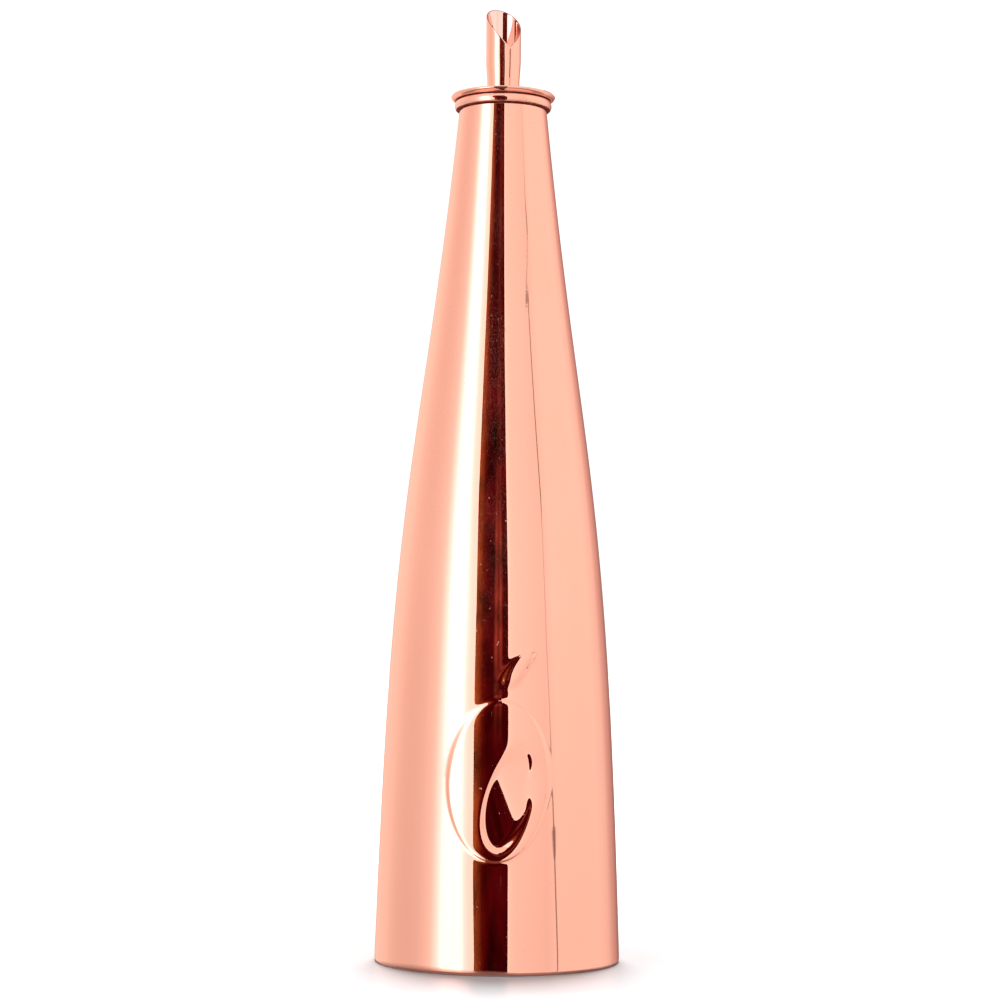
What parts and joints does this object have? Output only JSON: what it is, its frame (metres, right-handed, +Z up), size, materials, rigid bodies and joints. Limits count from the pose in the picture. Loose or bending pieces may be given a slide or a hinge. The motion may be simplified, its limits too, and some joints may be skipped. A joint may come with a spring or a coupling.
{
  "type": "olive oil pouring bottle",
  "caption": "Tall tapering mirror-copper oil bottle with an embossed olive and a lift-out stopper pourer: flared drip dish and slant-cut spout.",
  "frame": {"origin": "centre of the foot, on the surface the bottle stands on", "axes": "+Z up along the bottle's axis; -Y is the front, where the olive is embossed; +X is to the right seen from the front"},
  "size_m": [0.076, 0.076, 0.3002],
  "materials": {
    "copper_plate": "mirror-polished copper plating on stainless steel",
    "bare_steel": "satin drawn tube",
    "stopper_plastic": "fine moulded matte",
    "silicone": "soft translucent matte"
  },
  "bodies": {
    "bottle": {"bottle_shell": "copper_plate", "neck_ring": "copper_plate", "base_plate": "copper_plate"},
    "seals": {"seal_ring_1": "silicone", "seal_ring_2": "silicone", "seal_ring_3": "silicone"},
    "pourer": {"drip_dish": "copper_plate", "spout_tube": "copper_plate", "vent_tube": "bare_steel", "plug_core": "stopper_plastic"}
  },
  "joints": [
    {"name": "pourer_lift", "type": "slide", "parent": "bottle", "child": "seals", "axis": [0, 0, 1], "range_m": [0, 0.06]},
    {"name": "pourer_twist", "type": "hinge", "parent": "seals", "child": "pourer", "pos_m": [0, 0, 0.2695], "axis": [0, 0, 1], "continuous": true}
  ]
}
